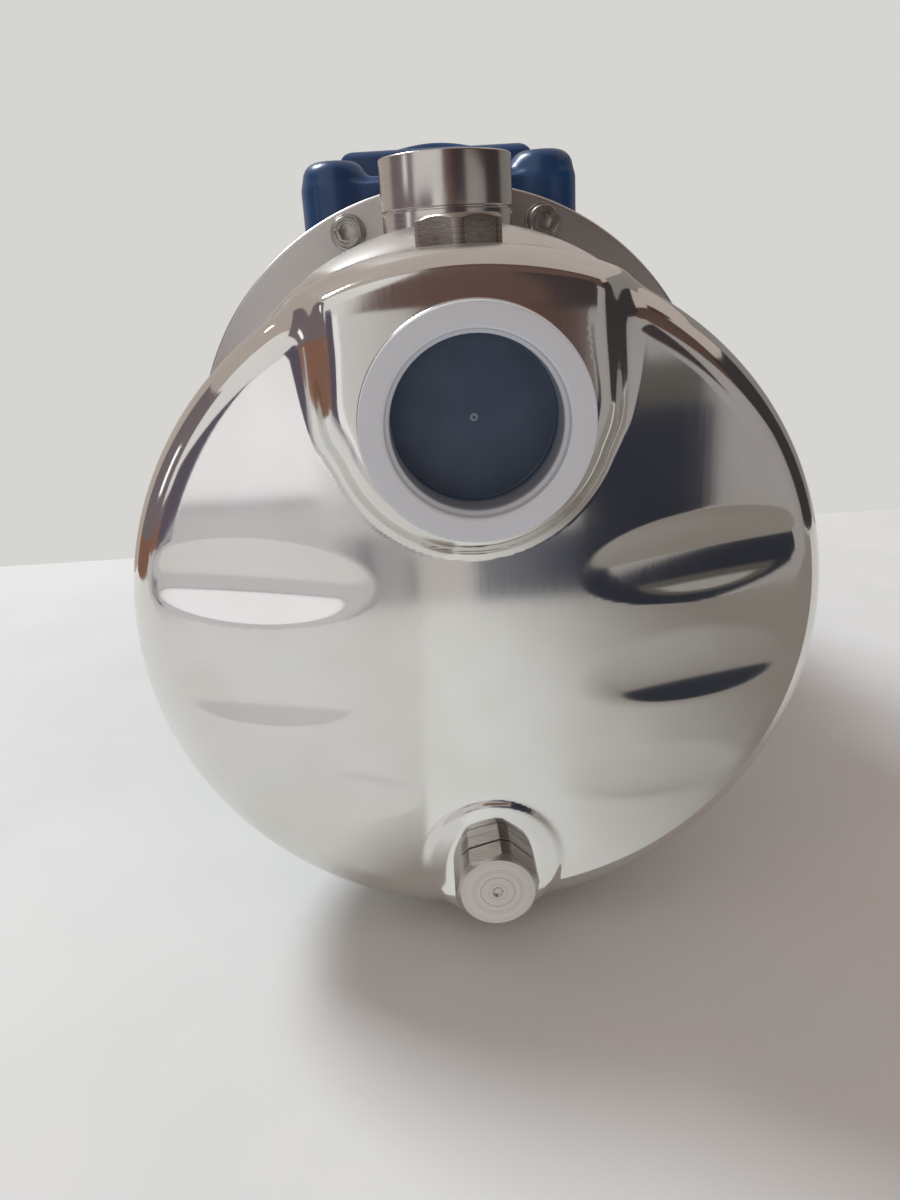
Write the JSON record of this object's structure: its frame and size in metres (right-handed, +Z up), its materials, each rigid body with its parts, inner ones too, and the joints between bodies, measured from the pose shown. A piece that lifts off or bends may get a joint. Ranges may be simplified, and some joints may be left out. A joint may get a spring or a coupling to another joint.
{
  "type": "horizontal multistage pump",
  "caption": "Self-priming horizontal multistage pump with pressed stainless casing, high front inlet, top outlet, filler and drain plugs, and close-coupled finned motor.",
  "frame": {"origin": "centre of the foot's four bolt holes, on the base plane, straight below the shaft", "axes": "+Z up, +Y along the shaft from the inlet towards the motor fan, +X to the right seen from the inlet"},
  "size_m": [0.186, 0.3684, 0.2314],
  "materials": {
    "polished_steel": "mirror polished stainless sheet with faint brush lines",
    "brushed_steel": "turned and brushed stainless steel",
    "fastener_steel": "stainless fasteners, satin",
    "pressed_steel": "pressed stainless sheet, mill finish",
    "shaft_steel": "ground steel",
    "bearing_steel": "ground bearing steel",
    "seal_rubber": "moulded black rubber",
    "transit_plastic": "milky polyethylene",
    "moulded_stage_plastic": "glass-filled moulded plastic",
    "seal_carbon": "lapped carbon",
    "seal_ceramic": "lapped ceramic",
    "blue_casting": "blue semi-gloss enamel on die-cast aluminium",
    "blue_sheet": "blue semi-gloss enamel on pressed sheet",
    "core_steel": "laminated electrical steel",
    "winding_copper": "varnished copper winding",
    "black_plastic": "moulded black plastic",
    "can_plastic": "moulded capacitor can"
  },
  "bodies": {
    "pump": {"casing_shell": "polished_steel", "casing_flange": "brushed_steel", "casing_screws": "fastener_steel", "casing_washers": "fastener_steel", "casing_seal": "seal_rubber", "back_plate": "brushed_steel", "suction_socket": "brushed_steel", "discharge_socket": "brushed_steel", "filler_boss": "brushed_steel", "drain_boss": "brushed_steel", "inlet_chamber": "pressed_steel", "stage_case_1": "pressed_steel", "stage_case_2": "pressed_steel", "stage_case_3": "pressed_steel", "diffuser_1": "moulded_stage_plastic", "diffuser_2": "moulded_stage_plastic", "diffuser_3": "moulded_stage_plastic", "wear_rings": "moulded_stage_plastic", "seal_seat": "seal_ceramic", "seal_cup": "seal_rubber", "motor_bracket": "blue_casting", "front_bearing_outer": "bearing_steel", "motor_frame": "blue_casting", "stator_core": "core_steel", "stator_windings": "winding_copper", "rear_shield": "blue_casting", "rear_bearing_outer": "bearing_steel", "tie_rods": "fastener_steel", "fan_cover": "blue_sheet", "fan_cover_screws": "fastener_steel", "box_base": "blue_casting", "box_gasket": "seal_rubber", "terminal_box": "blue_casting", "box_screws": "fastener_steel", "terminal_block": "black_plastic", "capacitor": "can_plastic", "cable_gland": "black_plastic", "foot": "blue_casting", "foot_bolts": "fastener_steel"},
    "rotor": {"shaft": "shaft_steel", "impeller_1": "moulded_stage_plastic", "impeller_2": "moulded_stage_plastic", "impeller_3": "moulded_stage_plastic", "impeller_spacers": "fastener_steel", "impeller_nut": "fastener_steel", "seal_face": "seal_carbon", "seal_spring": "fastener_steel", "spring_retainer": "fastener_steel", "slinger": "seal_rubber", "front_bearing_inner": "bearing_steel", "rear_bearing_inner": "bearing_steel", "rotor_core": "core_steel", "cooling_fan": "black_plastic"},
    "front_balls": {"front_bearing_balls": "bearing_steel"},
    "rear_balls": {"rear_bearing_balls": "bearing_steel"},
    "transit_plug": {"transit_plug": "transit_plastic"},
    "filler_seal": {"filler_seal": "seal_rubber"},
    "filler_plug": {"filler_plug": "brushed_steel"},
    "drain_seal": {"drain_seal": "seal_rubber"},
    "drain_plug": {"drain_plug": "brushed_steel"}
  },
  "joints": [
    {"name": "rotor_spin", "type": "hinge", "parent": "pump", "child": "rotor", "pos_m": [0, -0.062, 0.116], "axis": [0, 1, 0], "continuous": true},
    {"name": "front_balls_spin", "type": "hinge", "parent": "pump", "child": "front_balls", "pos_m": [0, -0.062, 0.116], "axis": [0, 1, 0], "continuous": true},
    {"name": "rear_balls_spin", "type": "hinge", "parent": "pump", "child": "rear_balls", "pos_m": [0, -0.062, 0.116], "axis": [0, 1, 0], "continuous": true},
    {"name": "transit_plug_pull", "type": "slide", "parent": "pump", "child": "transit_plug", "axis": [0, -1, 0], "range_m": [0, 0.03]},
    {"name": "filler_lift", "type": "slide", "parent": "pump", "child": "filler_seal", "axis": [0, 0, 1], "range_m": [0, 0.0107]},
    {"name": "filler_turn", "type": "hinge", "parent": "filler_seal", "child": "filler_plug", "pos_m": [0, -0.154, 0.1849], "axis": [0, 0, 1], "range_deg": [0, 2881]},
    {"name": "drain_draw", "type": "slide", "parent": "pump", "child": "drain_seal", "axis": [0, -1, 0], "range_m": [0, 0.0107]},
    {"name": "drain_turn", "type": "hinge", "parent": "drain_seal", "child": "drain_plug", "pos_m": [0, -0.1837, 0.0243], "axis": [0, -1, 0], "range_deg": [0, 2881]}
  ],
  "couplings": [
    {"joint": "front_balls_spin", "follows": "rotor_spin", "ratio": 0.3816},
    {"joint": "rear_balls_spin", "follows": "rotor_spin", "ratio": 0.3816},
    {"joint": "filler_turn", "follows": "filler_lift", "rad_per_m": 4699.5},
    {"joint": "drain_turn", "follows": "drain_draw", "rad_per_m": 4699.5}
  ]
}
